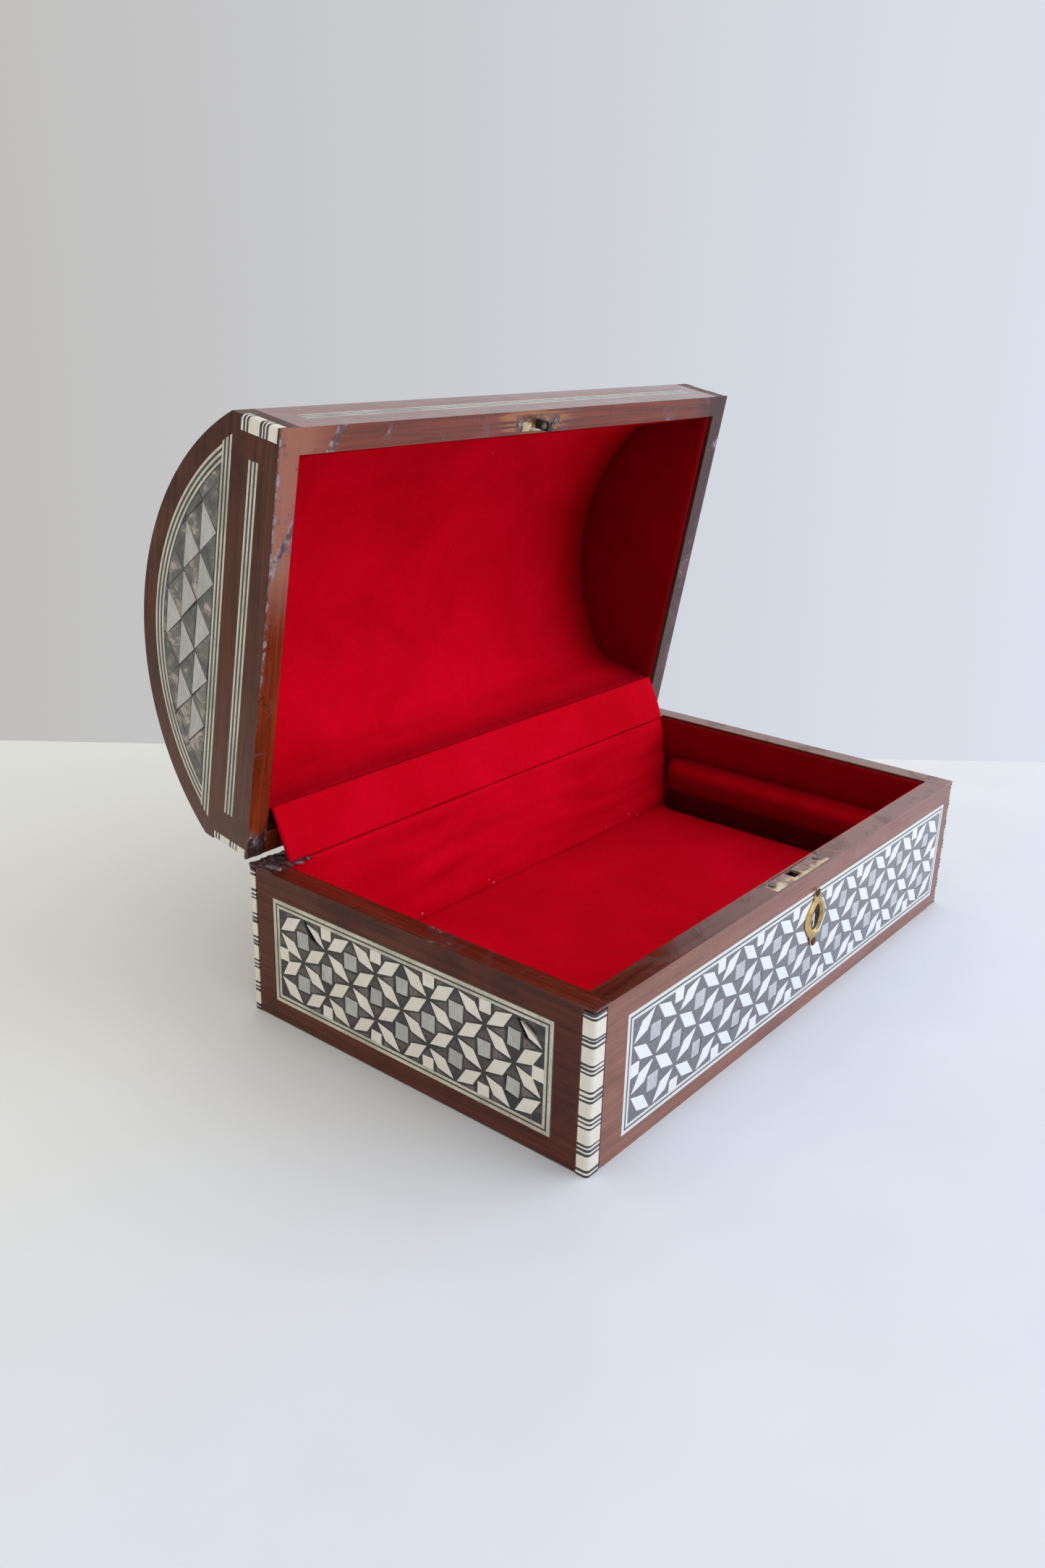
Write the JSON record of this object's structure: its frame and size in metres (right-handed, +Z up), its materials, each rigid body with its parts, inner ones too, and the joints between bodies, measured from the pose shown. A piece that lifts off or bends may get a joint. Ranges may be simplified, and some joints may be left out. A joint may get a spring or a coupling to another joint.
{
  "type": "inlaid box",
  "caption": "Oblong wooden box with a hinged barrel lid, inlaid in bone and pearl star patterns and lined with velvet, with a small lock.",
  "frame": {"origin": "centre of the base's underside", "axes": "+X to the right along the front, the front faces -Y, +Z up"},
  "size_m": [0.2, 0.1573, 0.163],
  "materials": {
    "wood_dark": "lacquered mahogany, worn at the edges",
    "bone": "polished bone",
    "ebony": "polished black wood",
    "ground": "dark wood and mastic under lacquer",
    "pearl": "polished mother of pearl",
    "abalone": "polished dark shell",
    "brass": "pressed brass, lightly tarnished",
    "painted_plate": "plate under the box's brown lacquer, chipped",
    "steel": "dulled steel",
    "velvet": "short red velvet"
  },
  "bodies": {
    "base": {"base_bottom": "wood_dark", "base_front_wall": "wood_dark", "base_back_wall": "wood_dark", "base_left_wall": "wood_dark", "base_right_wall": "wood_dark", "base_corner_bone": "bone", "base_corner_ebony": "ebony", "base_front_ground": "ground", "base_back_ground": "ground", "base_left_ground": "ground", "base_right_ground": "ground", "base_bone_pieces": "bone", "base_pearl_pieces": "pearl", "base_bone_stringing": "bone", "base_ebony_stringing": "ebony", "lock_case": "brass", "lock_plate": "painted_plate", "lock_screws": "steel", "lock_key_pin": "steel", "escutcheon": "brass", "escutcheon_pins": "steel", "hinge_base_leaves": "brass", "hinge_pins": "steel", "hinge_base_screws": "steel", "base_floor_pad": "velvet", "base_front_lining": "velvet", "base_back_lining": "velvet", "base_left_lining": "velvet", "base_right_lining": "velvet", "ring_roll": "velvet", "hinge_flap": "velvet"},
    "lid": {"lid_left_end": "wood_dark", "lid_right_end": "wood_dark", "lid_front_rail": "wood_dark", "lid_back_rail": "wood_dark", "lid_barrel": "wood_dark", "lid_corner_bone": "bone", "lid_corner_ebony": "ebony", "lid_left_ground": "ground", "lid_right_ground": "ground", "lid_barrel_ground": "ground", "lid_pearl_triangles": "pearl", "lid_abalone_triangles": "abalone", "lid_bone_pieces": "bone", "lid_pearl_pieces": "pearl", "lid_bone_stringing": "bone", "lid_ebony_stringing": "ebony", "lid_catch": "steel", "lid_catch_nails": "steel", "hinge_lid_leaves": "brass", "hinge_lid_screws": "steel", "lid_lining": "velvet", "lid_left_lining": "velvet", "lid_right_lining": "velvet"},
    "bolt": {"lock_bolt": "steel"}
  },
  "joints": [
    {"name": "lid_hinge", "type": "hinge", "parent": "base", "child": "lid", "pos_m": [0, 0.05886, 0.0445], "axis": [-1, 0, 0], "range_deg": [-80, 0], "deforming": ["hinge_flap"]},
    {"name": "bolt_slide", "type": "slide", "parent": "base", "child": "bolt", "axis": [-1, 0, 0], "range_m": [0, 0.0035]}
  ]
}
